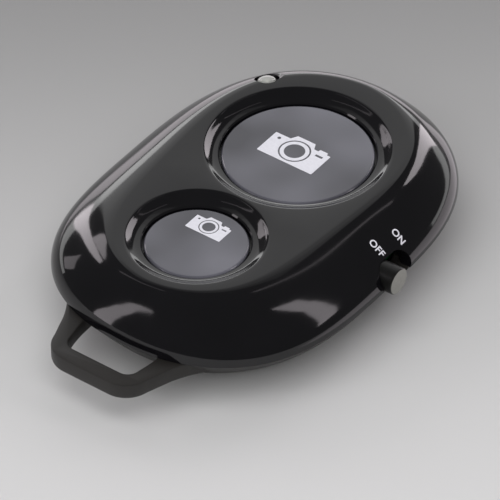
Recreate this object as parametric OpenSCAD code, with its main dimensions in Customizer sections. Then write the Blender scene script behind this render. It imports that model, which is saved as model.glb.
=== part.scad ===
// Camera shutter remote: an oval two-button hand remote with a strap loop.
// The back lies on z = 0. +Y points to the large button's end, the strap loop is at -Y,
// and the slide switch is on the +X side. All sizes are in millimetres.

/* [Housing] */
// Width of the housing at its widest edge
body_w = 33.2; // [32.8:0.1:36]
// Length of the housing without the strap loop
body_l = 46.4; // [45.8:0.1:52]
// Height of the top face above the back
body_h = 10.4; // [10.2:0.1:12]
// Height of the line where the two covers meet
parting_h = 5.2; // [5:0.05:5.5]
// How far the flat top face lies inside the widest edge, at the sides
top_inset_w = 6.3; // [6:0.1:6.5]
// How far the flat top face lies inside the widest edge, at the ends
top_inset_l = 4.5; // [4:0.1:4.8]
// How far the flat back lies inside the widest edge, at the sides
back_inset_w = 3.9; // [3.4:0.1:4.2]
// How far the flat back lies inside the widest edge, at the ends
back_inset_l = 4.8; // [4.2:0.1:5.2]
// Thickness of the curved walls
wall = 1.2; // [1:0.05:1.3]
// Thickness of the top cover's roof around the button wells
roof_t = 1.7; // [1.5:0.05:1.8]
// Thickness of the flat back
floor_t = 1; // [0.95:0.01:1.1]
// Step by which the bottom cover stands back under the top cover's edge
reveal = 0.3; // [0.2:0.05:0.4]

/* [Buttons] */
// Centre of the large button along the length
large_y = 6.63; // [6.4:0.05:6.9]
// Radius of the large button's hole
large_hole_r = 8.03; // [7.8:0.01:8.2]
// Radius of the large dished well's rim
large_rim_r = 9.52; // [9.3:0.01:9.7]
// Centre of the small button along the length
small_y = -10.57; // [-10.8:0.01:-10.3]
// Radius of the small button's hole
small_hole_r = 5.5; // [5.3:0.01:5.6]
// Radius of the small dished well's rim
small_rim_r = 7.09; // [6.9:0.01:7.2]
// Depth of the dished wells
well_depth = 0.82; // [0.6:0.01:0.9]
// Gap round each button in its hole
button_gap = 0.2; // [0.12:0.01:0.3]
// Depth of a button's face below its hole's edge
face_sink = 0.08; // [0.04:0.01:0.2]
// Thickness of the printed disc on each button
disc_t = 0.7; // [0.5:0.01:0.8]
// Rounding of the printed disc's upper edge
disc_round = 0.3; // [0.1:0.01:0.4]
// How far a button moves when pressed
button_travel = 0.3; // [0.2:0.01:0.35]
// How far a button's flange reaches past its hole
flange_reach = 0.7; // [0.5:0.05:0.75]
// Thickness of a button's flange
flange_t = 0.6; // [0.5:0.01:0.7]
// Diameter of the post under each button
post_d = 2.6; // [2.2:0.1:3]

/* [Strap loop] */
// Length of the strap loop past the housing's end
loop_l = 5.15; // [5:0.05:7]
// Place of the loop's middle across the width
loop_x = -0.4; // [-0.6:0.1:0.6]
// Thickness of the strap loop
loop_t = 1.85; // [1.5:0.05:2.2]
// Width of the loop's end bar
loop_bar = 1.85; // [1.4:0.05:2]
// Radius of the loop's outer corners
loop_corner_r = 3; // [2.6:0.1:3.2]
// Half the distance between the loop's corner centres
loop_corner_x = 2.8; // [2.4:0.1:3.2]
// Half the width of the loop where it leaves the housing
loop_root_x = 8; // [7.5:0.1:8.6]
// Radius of the strap hole's corners
loop_hole_r = 1.3; // [0.8:0.1:1.5]
// Half the distance between the strap hole's corner centres
loop_hole_x = 2.9; // [2.6:0.1:3.1]
// Half the width of the strap hole where it meets the housing
loop_hole_root_x = 4.8; // [4.7:0.1:5.6]

/* [Power] */
// Diameter of the coin cell
cell_d = 20; // [19.8:0.1:20]
// Thickness of the coin cell
cell_t = 3.2; // [3:0.05:3.2]
// Centre of the coin cell along the length
cell_y = 3.2; // [3:0.1:3.6]
// Thickness of the sliding battery cover
cover_t = 0.8; // [0.7:0.01:0.85]
// Length of the battery cover's tongues
tongue_l = 16; // [12:0.5:17]
// Diameter of the slide switch's knob
knob_d = 2.9; // [2.6:0.05:3]
// How far the knob stands out past the widest edge
knob_reach = 0.8; // [0.5:0.1:1.5]
// Place of the knob along the length when it is off
knob_y = -0.2; // [-0.6:0.1:0.2]
// How far the knob moves from off to on
knob_travel = 2; // [1.6:0.1:2.2]

/* [Board] */
// Thickness of the circuit board
board_t = 0.8; // [0.7:0.01:0.85]
// How far the board lies inside the widest edge
board_inset = 3.1; // [3:0.05:3.3]
// Width of each tact switch
tact_w = 4.5; // [4:0.1:5]
// Height of each tact switch without its plunger
tact_h = 1.25; // [1.15:0.01:1.3]
// Height of each tact switch with its plunger
tact_full_h = 1.75; // [1.7:0.01:1.85]
// Diameter of each tact switch's plunger
plunger_d = 1.8; // [1.6:0.1:2]

/* [Status lamp] */
// Diameter of the lamp's lens
lamp_d = 1.8; // [1.6:0.1:2]
// Diameter of the lamp's hole
lamp_hole_d = 2.7; // [2.5:0.1:3]
// How far the lamp's lens lies inside the widest edge, at the side
lamp_inset_w = 7.2; // [7.1:0.05:7.3]
// How far the lamp's lens lies inside the widest edge, at the far end
lamp_inset_l = 9.1; // [9:0.05:9.2]
// How far the lamp's lens lies below the top face
lamp_drop = 0.2; // [0.15:0.05:0.3]

/* [Hidden] */

// Quality of round and lofted surfaces
$fn = 64;
loft_steps = 64;

// Clearances
overrun = 0.5;        // how far a cut runs past the face it opens
lift_gap = 0.05;      // rest gap above a button's flange
slide_gap = 0.1;      // gap beside and under the sliding cover
running_gap = 0.05;   // gap above and below its tongues
cell_gap = 0.1;       // gap between the cell and its cover
screw_gap = 0.02;     // gap round a screw's thread in its boss
part_gap = 0.15;      // gap between a moving piece and what guides it

// Powers of the superellipses that draw the plan outlines: across, far end, loop end
edge_shares = [2.1, 2.87, 3.29];
top_shares = [1.8, 3.12, 4.78];
back_shares = [2.1, 3, 2.3];
// Lean of an outline: how much it widens towards the loop end
edge_lean_share = 0.01;
top_lean_share = -0.146;

// The top cover's flank from the widest edge (0) to the flat top (1), inwards and upwards
flank_in_shares = [0, 0.012, 0.035, 0.08, 0.16, 0.285, 0.43, 0.57, 0.7, 0.82, 0.92, 1];
flank_up_shares = [0, 0.09, 0.18, 0.28, 0.4, 0.53, 0.66, 0.775, 0.865, 0.935, 0.98, 1];
// The inner surface of that flank
inner_in_shares = [0, 0.055, 0.15, 0.32, 0.47, 0.62, 0.76, 0.9];
inner_up_shares = [0, 0.13, 0.262, 0.477, 0.653, 0.8, 0.91, 1];
// The bottom cover's flank from the parting line (0) to the flat back (1), inwards and downwards
under_in_shares = [0, 0.02, 0.25, 0.5, 0.75, 0.9, 1];
under_down_shares = [0, 0.07, 0.34, 0.61, 0.84, 0.95, 1];

// Heights, stacked from the back
cover_z = slide_gap;
cover_top = cover_z + cover_t;
cell_z = cover_top + cell_gap;
contact_room = 0.25;
board_z = cell_z + cell_t + contact_room;
board_top = board_z + board_t;
roof_z = body_h - roof_t;
hole_edge_z = body_h - well_depth;
face_z = hole_edge_z - face_sink;
disc_z = face_z - disc_t;
flange_top = roof_z - lift_gap;
flange_z = flange_top - flange_t;
plunger_top = board_top + tact_full_h;

// Step between the coin cell's can and its smaller face
cell_step_share = 0.08;

// Battery bay
bay_wall = 1;
bay_side_room = 0.6;
bay_front_room = 1.4;
bay_back_room = 0.3;
bay_half_w = cell_d / 2 + bay_side_room;
bay_front = cell_y - cell_d / 2 - bay_front_room;
bay_back = cell_y + cell_d / 2 + bay_back_room;
groove_depth = 0.7;
rail_back = 0.5;
tongue_t = 0.35;
cover_rise = 2.8;
cover_side = bay_half_w - slide_gap;
grip_w = 0.5;
grip_l = 8;
grip_depth = 0.25;
grip_pitch = 1.2;
grip_y = 12.6;
grip_count = 3;

// Lip that locates the two covers on each other
lip_h = 0.5;
lip_t = 0.6;
lip_room = 0.5;
lip_inset = wall + lip_room;

// Case screws at the loop end, and board screws in the bay's corners and at the far end
case_screw_x = 7.9;
case_screw_y = -12.8;
case_joint_z = 3.9;
case_head_r = 1.4;
case_head_t = 0.9;
case_head_sink = 1.2;
case_thread_r = 0.75;
case_thread_l = 5;
board_screw_x = 8.9;
board_screw_y = -6.6;
board_screw_far_y = 17.6;
board_head_r = 1.2;
board_head_t = 0.8;
board_thread_r = 0.65;
board_thread_l = 3.2;
boss_r = 1.6;
sleeve_r = 1.95;
drive_w = 0.35;
drive_l = 1.5;
drive_depth = 0.35;

// Tact switch
frame_t = 0.15;
chamber_r = 1.7;
chamber_z = 0.3;
dome_r = 1.5;
dome_t = 0.1;
dome_h = 0.35;
foot_r = 1.35;
foot_t = 0.28;

// Slide switch
switch_l = 6.8;
switch_w = 2.7;
switch_h = 1.75;
switch_axis_h = 0.8;
switch_inset = 4.2;
switch_x = body_w / 2 - switch_inset;
switch_floor_t = 0.35;
slider_t = 0.8;
slider_w = 1.7;
slider_l = 2.4;
stem_t = 0.9;
stem_l = 1.3;
knob_root_gap = 0.4;
knob_root = body_w / 2 - board_inset + knob_root_gap;
knob_round = 0.15;
knob_axis_z = board_top + switch_axis_h;
slot_r = knob_d / 2 + part_gap;

// Lamp
lamp_x = -(body_w / 2 - lamp_inset_w);
lamp_y = body_l / 2 - lamp_inset_l;
lamp_z = body_h - lamp_drop;
lamp_turn = 135;
lamp_tilt = 68;
lamp_l = 2.3;
lamp_flange_r = 1.15;
lamp_flange_t = 0.4;
lead_d = 0.4;
lead_pitch = 1;
lead_straight = 0.5;
lead_sides = 10;

// Board parts
chip_w = 4;
chip_t = 0.85;
chip_x = -6.6;
chip_y = -2.2;
crystal_w = 3.2;
crystal_l = 2.5;
crystal_t = 0.7;
crystal_x = -0.9;
crystal_y = -2.6;
small_part_l = 1;
small_part_w = 0.5;
small_part_t = 0.35;
small_part_pitch = 1.6;
small_part_count = 5;
trace_w = 0.5;
trace_t = 0.05;
trace_pitch = 1.2;
trace_l = 2.2;
trace_y = -18.6;
trace_turns = 5;

// Contacts
strip_t = 0.2;
strip_w = 6;
strip_foot = 0.9;
leaf_w = 5;
leaf_t = 0.1;
finger_w = 1.2;
finger_l = 4;

// Key that stops a button turning
key_w = 1.2;
key_reach = 0.6;
key_rib_t = 0.6;

// Power of a signed number
function signed_pow(v, p) = sign(v) * pow(abs(v), p);

// Mix of two values, from a at 0 to b at 1
function mix(a, b, s) = a + (b - a) * s;

// One level outline of a superellipse with its own power at each end
function ring(half_w, half_l, shares, lean, z) = [
    for (i = [0 : loft_steps - 1])
        let (
            t = 360 * i / loft_steps,
            end_power = sin(t) >= 0 ? shares[1] : shares[2],
            x = half_w * signed_pow(cos(t), 2 / shares[0]),
            y = half_l * signed_pow(sin(t), 2 / end_power)
        )
        [x * (1 - lean * y / half_l), y, z]
];

// Outline of the top cover at a share of the way from its edge to its flat top
function top_ring(share, shrink, z) = ring(
    body_w / 2 - share * top_inset_w - shrink,
    body_l / 2 - share * top_inset_l - shrink,
    mix(edge_shares, top_shares, share),
    mix(edge_lean_share, top_lean_share, share),
    z
);

// Outline of the bottom cover at a share of the way from the parting line to the flat back
function under_ring(share, shrink, z) = ring(
    body_w / 2 - mix(reveal, back_inset_w, share) - shrink,
    body_l / 2 - mix(reveal, back_inset_l, share) - shrink,
    mix(edge_shares, back_shares, share),
    edge_lean_share * (1 - share),
    z
);

// A closed solid through level outlines, listed from the lowest
module loft(rings) {
    n = loft_steps;
    m = len(rings);
    sides = [
        for (i = [0 : m - 2], j = [0 : n - 1])
            let (k = (j + 1) % n)
            each [[i * n + j, i * n + n + j, i * n + n + k], [i * n + j, i * n + n + k, i * n + k]]
    ];
    lower = [for (j = [0 : n - 1]) j];
    upper = [for (j = [n - 1 : -1 : 0]) (m - 1) * n + j];
    polyhedron([for (r = rings) each r], concat([lower], sides, [upper]));
}

// The space inside the top cover, which runs on below the parting line
module top_cavity() {
    loft(concat(
        [top_ring(0, wall, parting_h - overrun)],
        [for (i = [0 : len(inner_in_shares) - 1])
            top_ring(inner_in_shares[i], wall, mix(parting_h, roof_z, inner_up_shares[i]))]
    ));
}

// The whole outside of the bottom cover, flat back down
module under_outside() {
    steps = len(under_in_shares);
    loft([for (i = [steps - 1 : -1 : 0])
        under_ring(under_in_shares[i], 0, parting_h * (1 - under_down_shares[i]))]);
}

// The space inside the bottom cover, from its floor to above the parting line
module under_cavity() {
    mouth = lip_inset + lip_t;
    loft([
        under_ring(1, wall / 2, floor_t),
        under_ring(0, mouth - reveal, parting_h),
        under_ring(0, mouth - reveal, parting_h + overrun)
    ]);
}

// The stadium slot in which the knob slides, cut through both covers
module knob_slot() {
    translate([body_w / 2 - board_inset, knob_y, knob_axis_z])
        rotate([90, 0, 90])
            linear_extrude(board_inset + overrun + knob_reach) {
                circle(slot_r);
                translate([knob_travel, 0]) circle(slot_r);
                translate([0, -slot_r]) square([knob_travel, 2 * slot_r]);
            }
}

// Puts its children at the lamp, with +Z out through the lens
module at_lamp() {
    translate([lamp_x, lamp_y, lamp_z])
        rotate([0, 0, lamp_turn])
            rotate([0, 90 - lamp_tilt, 0])
                children();
}

// Puts its children at the two case screws
module at_case_screws() {
    for (side = [-1, 1])
        translate([side * case_screw_x, case_screw_y, 0])
            children();
}

// Puts its children at the three board screws
module at_board_screws() {
    for (side = [-1, 1])
        translate([side * board_screw_x, board_screw_y, 0])
            children();
    translate([0, board_screw_far_y, 0])
        children();
}

// The dished well of a button with its hole through the roof
module well_cut(y, hole_r, rim_r) {
    flare = (rim_r - hole_r) / well_depth;
    translate([0, y, roof_z - overrun])
        cylinder(h = roof_t, r = hole_r);
    translate([0, y, hole_edge_z])
        cylinder(h = well_depth + overrun, r1 = hole_r, r2 = rim_r + overrun * flare);
}

// The two short ribs under the roof that hold a button's key
module key_ribs(y, hole_r) {
    flange_r = hole_r + flange_reach;
    rib_x = -flange_r - key_reach;
    rib_y = key_w / 2 + part_gap;
    rib_z = flange_z - button_travel;
    for (side = [-1, 1])
        translate([rib_x, y + (side > 0 ? rib_y : -rib_y - key_rib_t), rib_z])
            cube([key_reach - part_gap, key_rib_t, roof_z + overrun - rib_z]);
}

module top_cover() {
    case_top = case_head_sink + case_thread_l;
    color("#18181a") {
        difference() {
            loft([for (i = [0 : len(flank_in_shares) - 1])
                top_ring(flank_in_shares[i], 0, mix(parting_h, body_h, flank_up_shares[i]))]);
            top_cavity();
            well_cut(large_y, large_hole_r, large_rim_r);
            well_cut(small_y, small_hole_r, small_rim_r);
            knob_slot();
            at_lamp()
                translate([0, 0, -lamp_l])
                    cylinder(h = lamp_l + lamp_d, r = lamp_hole_d / 2);
        }
        difference() {
            at_case_screws()
                translate([0, 0, case_joint_z])
                    cylinder(h = roof_z + overrun - case_joint_z, r = boss_r);
            at_case_screws()
                translate([0, 0, case_joint_z - overrun])
                    cylinder(h = case_top - case_joint_z + 2 * overrun, r = case_thread_r + screw_gap);
        }
        difference() {
            at_board_screws()
                translate([0, 0, board_top])
                    cylinder(h = roof_z + overrun - board_top, r = boss_r);
            at_board_screws()
                translate([0, 0, board_z])
                    cylinder(h = board_thread_l + overrun, r = board_thread_r + screw_gap);
        }
        key_ribs(large_y, large_hole_r);
        key_ribs(small_y, small_hole_r);
    }
}

// The flat strap loop, which runs on into the housing's end
module strap_loop() {
    tip_y = -body_l / 2 - loop_l;
    corner_y = tip_y + loop_corner_r;
    root_y = -body_l / 2 + loop_corner_r;
    hole_y = tip_y + loop_bar + loop_hole_r;
    translate([0, 0, parting_h - running_gap - loop_t])
        linear_extrude(loop_t)
            difference() {
                translate([loop_x, 0])
                    rounded_wedge(loop_corner_x, corner_y, loop_corner_r, loop_root_x, root_y);
                difference() {
                    translate([loop_x, 0])
                        rounded_wedge(loop_hole_x, hole_y, loop_hole_r, loop_hole_root_x, root_y + overrun);
                    polygon([for (p = under_ring(0, 0, 0)) [p[0], p[1]]]);
                }
            }
}

// A plan shape with two round corners towards -Y that widens to a straight edge at root_y
module rounded_wedge(corner_x, corner_y, r, root_x, root_y) {
    dx = root_x - corner_x;
    dy = root_y - corner_y;
    span = norm([dx, dy]);
    // Angle of the side's outward normal where it leaves the corner
    turn = atan2(-dx, dy) + asin(r / span);
    nx = cos(turn);
    ny = sin(turn);
    for (side = [-1, 1])
        translate([side * corner_x, corner_y]) circle(r);
    polygon([
        [-root_x, root_y], [-corner_x - r * nx, corner_y + r * ny], [-corner_x, corner_y - r],
        [corner_x, corner_y - r], [corner_x + r * nx, corner_y + r * ny], [root_x, root_y]
    ]);
}

// The walls that stand in the bottom cover: the battery bay and the screw sleeves
module bay_walls() {
    outer_x = bay_half_w + groove_depth + rail_back;
    for (side = [-1, 1])
        translate([side > 0 ? bay_half_w : -outer_x, bay_front - bay_wall, 0])
            cube([outer_x - bay_half_w, bay_back - bay_front + 2 * bay_wall, board_z]);
    translate([-outer_x, bay_front - bay_wall, 0])
        cube([2 * outer_x, bay_wall, board_z]);
    translate([-outer_x, bay_back, 0])
        cube([2 * outer_x, bay_wall, board_z]);
    at_case_screws()
        cylinder(h = case_joint_z, r = sleeve_r);
}

// The opening that the sliding cover closes, with the grooves for its tongues
module cover_opening() {
    far = body_l / 2 + overrun;
    translate([-bay_half_w, bay_front, -overrun])
        cube([2 * bay_half_w, far - bay_front, overrun + cover_top + slide_gap]);
    translate([-bay_half_w, bay_back + bay_wall, -overrun])
        cube([2 * bay_half_w, far - bay_back - bay_wall, overrun + cover_rise + slide_gap]);
    translate([-bay_half_w - groove_depth, bay_front, cover_top - tongue_t - running_gap])
        cube([2 * (bay_half_w + groove_depth), far - bay_front, tongue_t + 2 * running_gap]);
}

module bottom_cover() {
    color("#2b2926") {
        difference() {
            union() {
                under_outside();
                strap_loop();
            }
            difference() {
                under_cavity();
                bay_walls();
            }
            cover_opening();
            knob_slot();
            at_case_screws() {
                translate([0, 0, -overrun])
                    cylinder(h = case_joint_z + 2 * overrun, r = case_thread_r + slide_gap);
                translate([0, 0, -overrun])
                    cylinder(h = overrun + case_head_sink, r = case_head_r + slide_gap);
            }
        }
        difference() {
            loft([
                under_ring(0, lip_inset - reveal, parting_h - lip_h),
                under_ring(0, lip_inset - reveal, parting_h + lip_h)
            ]);
            loft([
                under_ring(0, lip_inset + lip_t - reveal, parting_h - lip_h - overrun),
                under_ring(0, lip_inset + lip_t - reveal, parting_h + lip_h + overrun)
            ]);
            knob_slot();
        }
    }
}

module battery_cover() {
    color("#2b2926")
        difference() {
            union() {
                intersection() {
                    under_outside();
                    union() {
                        translate([-cover_side, bay_front + slide_gap, cover_z])
                            cube([2 * cover_side, body_l / 2 - bay_front, cover_t]);
                        translate([-cover_side, bay_back + bay_wall + slide_gap, cover_z])
                            cube([2 * cover_side, body_l / 2 - bay_back, cover_rise - cover_z]);
                    }
                }
                translate([-cover_side - groove_depth, bay_front + slide_gap, cover_top - tongue_t])
                    cube([2 * (cover_side + groove_depth), tongue_l, tongue_t]);
            }
            translate([0, 0, -cell_gap])
                under_cavity();
            for (i = [0 : grip_count - 1])
                translate([-grip_l / 2, grip_y + i * grip_pitch, cover_z - overrun])
                    cube([grip_l, grip_w, overrun + grip_depth]);
        }
}

// A button's carrier: a stepped plate with its flange, its key and the post under it
module button(y, hole_r) {
    translate([0, y, 0]) {
        translate([0, 0, flange_top])
            cylinder(h = disc_z - flange_top, r = hole_r - button_gap);
        translate([0, 0, flange_z])
            cylinder(h = flange_t, r = hole_r + flange_reach);
        translate([0, 0, plunger_top])
            cylinder(h = flange_z - plunger_top, d = post_d);
        translate([-hole_r - flange_reach - key_reach, -key_w / 2, flange_z])
            cube([flange_reach + key_reach, key_w, flange_t]);
    }
}

// The printed disc on a button, with its upper edge rounded
module button_disc(y, hole_r) {
    disc_r = hole_r - button_gap;
    translate([0, y, disc_z])
        rotate_extrude() {
            square([disc_r - disc_round, disc_t]);
            square([disc_r, disc_t - disc_round]);
            intersection() {
                translate([disc_r - disc_round, disc_t - disc_round]) circle(disc_round);
                square([disc_r, disc_t]);
            }
        }
}

module large_button() {
    color("#1d1d20") button(large_y, large_hole_r);
}

module large_button_disc() {
    color("#6f6f78") button_disc(large_y, large_hole_r);
}

module small_button() {
    color("#1d1d20") button(small_y, small_hole_r);
}

module small_button_disc() {
    color("#6f6f78") button_disc(small_y, small_hole_r);
}

module circuit_board() {
    color("#1f5a34")
        difference() {
            translate([0, 0, board_z])
                linear_extrude(board_t)
                    polygon([for (p = top_ring(0, board_inset, 0)) [p[0], p[1]]]);
            at_board_screws()
                translate([0, 0, board_z - overrun])
                    cylinder(h = board_t + 2 * overrun, r = board_thread_r + part_gap);
            at_case_screws()
                translate([0, 0, board_z - overrun])
                    cylinder(h = board_t + 2 * overrun, r = boss_r + part_gap);
        }
}

// The printed aerial: one meander of copper at the loop end of the board
module board_antenna() {
    first_x = -trace_turns * trace_pitch / 2;
    color("#b8864a")
        translate([first_x, trace_y, board_top]) {
            for (i = [0 : trace_turns])
                translate([i * trace_pitch, 0, 0])
                    cube([trace_w, trace_l, trace_t]);
            for (i = [0 : trace_turns - 1])
                translate([i * trace_pitch, i % 2 == 0 ? 0 : trace_l - trace_w, 0])
                    cube([trace_pitch + trace_w, trace_w, trace_t]);
        }
}

module bluetooth_chip() {
    color("#202022")
        translate([chip_x - chip_w / 2, chip_y - chip_w / 2, board_top])
            cube([chip_w, chip_w, chip_t]);
}

module crystal() {
    color("#c9c9c4")
        translate([crystal_x - crystal_w / 2, crystal_y - crystal_l / 2, board_top])
            cube([crystal_w, crystal_l, crystal_t]);
}

// Resistors and capacitors in two rows beside the chip
module chip_parts() {
    first_x = chip_x + chip_w / 2 + small_part_w;
    first_y = chip_y + chip_w / 2 + small_part_l;
    color("#8a7a5c")
        for (row = [0, 1], i = [0 : small_part_count - 1])
            translate([first_x + i * small_part_pitch, first_y - row * small_part_pitch, board_top])
                cube([small_part_w, small_part_l, small_part_t]);
}

// A tact switch's moulded base, with the round chamber for its dome
module tact_base(y) {
    color("#3a3a3c")
        translate([0, y, board_top])
            difference() {
                translate([-tact_w / 2, -tact_w / 2, 0])
                    cube([tact_w, tact_w, tact_h - frame_t]);
                translate([0, 0, chamber_z])
                    cylinder(h = tact_h, r = chamber_r);
            }
}

// A tact switch's metal dome, a shallow cone with a flat crown
module tact_dome(y) {
    crown = dome_r / 2;
    color("#d0d0cc")
        translate([0, y, board_top + chamber_z])
            rotate_extrude()
                polygon([
                    [0, dome_h - dome_t], [crown, dome_h - dome_t], [dome_r - dome_t, 0],
                    [dome_r, 0], [dome_r, dome_t / 2], [crown, dome_h], [0, dome_h]
                ]);
}

// A tact switch's plunger: a stem on a wide foot that rests on the dome
module tact_plunger(y) {
    foot_z = chamber_z + dome_h;
    color("#e4e2da")
        translate([0, y, board_top + foot_z]) {
            cylinder(h = foot_t, r = foot_r);
            cylinder(h = tact_full_h - foot_z, d = plunger_d);
        }
}

// A tact switch's metal frame, a thin plate with a hole for the plunger
module tact_frame(y) {
    color("#bdbdb8")
        translate([0, y, board_top + tact_h - frame_t])
            difference() {
                translate([-tact_w / 2, -tact_w / 2, 0])
                    cube([tact_w, tact_w, frame_t]);
                translate([0, 0, -overrun])
                    cylinder(h = frame_t + 2 * overrun, d = plunger_d + part_gap);
            }
}

module large_switch_base() { tact_base(large_y); }
module large_switch_dome() { tact_dome(large_y); }
module large_switch_plunger() { tact_plunger(large_y); }
module large_switch_frame() { tact_frame(large_y); }
module small_switch_base() { tact_base(small_y); }
module small_switch_dome() { tact_dome(small_y); }
module small_switch_plunger() { tact_plunger(small_y); }
module small_switch_frame() { tact_frame(small_y); }

// Puts its children at the slide switch: +X to its outer face, y = 0 at the middle of its travel
module at_switch() {
    translate([switch_x, knob_y + knob_travel / 2, board_top])
        children();
}

// The slide switch's moulded base, a trough with a block at each end
module power_switch_base() {
    inner_w = switch_w - 2 * frame_t;
    block_l = (switch_l - slider_l - knob_travel) / 2 - part_gap;
    color("#3a3a3c")
        at_switch()
            translate([-frame_t - inner_w, -switch_l / 2, 0]) {
                cube([inner_w, switch_l, switch_floor_t]);
                for (end_y = [0, switch_l - block_l])
                    translate([0, end_y, 0])
                        cube([inner_w, block_l, switch_h - frame_t]);
            }
}

// The slide switch's metal can, open below, with a window for the slider's stem
module power_switch_frame() {
    window_l = stem_l + knob_travel + 2 * part_gap;
    color("#bdbdb8")
        at_switch()
            difference() {
                translate([-switch_w, -switch_l / 2, 0])
                    cube([switch_w, switch_l, switch_h]);
                translate([-switch_w + frame_t, -switch_l / 2 - overrun, -overrun])
                    cube([switch_w - 2 * frame_t, switch_l + 2 * overrun, switch_h - frame_t + overrun]);
                translate([-frame_t - overrun, -window_l / 2, switch_axis_h - stem_t / 2 - part_gap])
                    cube([frame_t + 2 * overrun, window_l, stem_t + 2 * part_gap]);
            }
}

// The slider inside the can, with the stem that carries the knob
module power_switch_slider() {
    slider_x = switch_x - frame_t - part_gap - slider_w;
    stem_x = slider_x + slider_w / 2;
    color("#1d1d20")
        translate([0, knob_y, knob_axis_z]) {
            translate([slider_x, -slider_l / 2, -slider_t / 2])
                cube([slider_w, slider_l, slider_t]);
            translate([stem_x, -stem_l / 2, -stem_t / 2])
                cube([knob_root - stem_x, stem_l, stem_t]);
        }
}

// The round knob that shows in the slot
module power_switch_knob() {
    knob_l = body_w / 2 + knob_reach - knob_root;
    color("#77776f")
        translate([knob_root, knob_y, knob_axis_z])
            rotate([0, 90, 0]) {
                cylinder(h = knob_l - knob_round, d = knob_d);
                translate([0, 0, knob_l - knob_round])
                    cylinder(h = knob_round, d1 = knob_d, d2 = knob_d - 2 * knob_round);
            }
}

// The lamp: a clear round body with a domed lens and a flange at its foot
module status_led() {
    color("#d8dadc")
        at_lamp() {
            translate([0, 0, -lamp_d / 2])
                intersection() {
                    sphere(d = lamp_d);
                    translate([-lamp_d, -lamp_d, 0]) cube([2 * lamp_d, 2 * lamp_d, lamp_d]);
                }
            translate([0, 0, -lamp_l])
                cylinder(h = lamp_l - lamp_d / 2, d = lamp_d);
            translate([0, 0, -lamp_l])
                cylinder(h = lamp_flange_t, r = lamp_flange_r);
        }
}

// The lamp's two lead wires, bent down to the board
module led_leads() {
    run = lamp_l + lead_straight;
    inwards = run * cos(lamp_tilt);
    bend_z = lamp_z - run * sin(lamp_tilt);
    color("#c9c9c4")
        for (offset = [-lead_pitch / 2, lead_pitch / 2]) {
            bend_x = lamp_x - inwards * cos(lamp_turn) - offset * sin(lamp_turn);
            bend_y = lamp_y - inwards * sin(lamp_turn) + offset * cos(lamp_turn);
            lead([bend_x, bend_y, bend_z], offset);
        }
}

// One lead: a straight wire out of the lamp's foot, and a wire from its bend down to the board
module lead(bend, offset) {
    hull() {
        at_lamp()
            translate([0, offset, -lamp_l - lead_straight / 2])
                cylinder(h = lead_straight / 2, d = lead_d, $fn = lead_sides);
        translate(bend)
            sphere(d = lead_d, $fn = lead_sides);
    }
    hull() {
        translate(bend)
            sphere(d = lead_d, $fn = lead_sides);
        translate([bend[0], bend[1], board_top])
            cylinder(h = lead_straight / 2, d = lead_d, $fn = lead_sides);
    }
}

// The coin cell: the can below and the smaller face above, with a step between them
module coin_cell() {
    step_t = cell_step_share * cell_t;
    step_w = cell_step_share * cell_d;
    color("#c9cacb")
        translate([0, cell_y, cell_z]) {
            cylinder(h = cell_t - step_t, d = cell_d);
            cylinder(h = cell_t, d = cell_d - 2 * step_w);
        }
}

// The sprung leaf under the board: a plate with two fingers that press on the cell
module negative_contact() {
    color("#d9c27a")
        translate([0, cell_y, 0]) {
            translate([-leaf_w / 2, -leaf_w / 2, board_z - leaf_t])
                cube([leaf_w, leaf_w, leaf_t]);
            for (side = [-1, 1])
                translate([side * (leaf_w - finger_w) / 2 - finger_w / 2, leaf_w / 2, 0])
                    rotate([90, 0, 90])
                        linear_extrude(finger_w)
                            polygon([
                                [0, board_z - leaf_t], [0, board_z],
                                [finger_l, board_z - contact_room + leaf_t],
                                [finger_l, board_z - contact_room]
                            ]);
        }
}

// The bent strip at the cell's rim, with its foot soldered under the board
module positive_contact() {
    strip_y = cell_y - cell_d / 2 - running_gap - strip_t;
    color("#d9c27a")
        translate([-strip_w / 2, strip_y, 0]) {
            translate([0, 0, cell_z + cell_t / 6])
                cube([strip_w, strip_t, board_z - cell_z - cell_t / 6]);
            translate([0, -strip_foot, board_z - strip_t])
                cube([strip_w, strip_foot + strip_t, strip_t]);
        }
}

// A self-tapping screw, head down, with a cross recess in its head
module screw(head_r, head_t, thread_r, thread_l) {
    difference() {
        union() {
            translate([0, 0, -head_t])
                cylinder(h = head_t, r = head_r);
            cylinder(h = thread_l, r = thread_r);
        }
        for (turn = [0, 90])
            rotate([0, 0, turn])
                translate([-drive_l / 2, -drive_w / 2, -head_t - overrun])
                    cube([drive_l, drive_w, overrun + drive_depth]);
    }
}

module board_screws() {
    color("#b9bab6")
        at_board_screws()
            translate([0, 0, board_z])
                screw(board_head_r, board_head_t, board_thread_r, board_thread_l);
}

module case_screws() {
    color("#b9bab6")
        at_case_screws()
            translate([0, 0, case_head_sink])
                screw(case_head_r, case_head_t, case_thread_r, case_thread_l);
}

top_cover();
bottom_cover();
battery_cover();
large_button();
large_button_disc();
small_button();
small_button_disc();
circuit_board();
board_antenna();
bluetooth_chip();
crystal();
chip_parts();
large_switch_base();
large_switch_dome();
large_switch_plunger();
large_switch_frame();
small_switch_base();
small_switch_dome();
small_switch_plunger();
small_switch_frame();
power_switch_base();
power_switch_frame();
power_switch_slider();
power_switch_knob();
status_led();
led_leads();
coin_cell();
negative_contact();
positive_contact();
board_screws();
case_screws();
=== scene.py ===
# A hand-held camera shutter remote: an oval housing with two round buttons in dished
# wells, a slide switch, a status lamp, a sliding battery cover and a strap loop.
# Lengths are in metres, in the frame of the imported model: the back lies on z = 0, +Y runs
# to the large button's end and the slide switch is on the +X side.
import math

import bmesh
import bpy
from mathutils import Matrix, Vector
from mathutils.bvhtree import BVHTree


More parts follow.
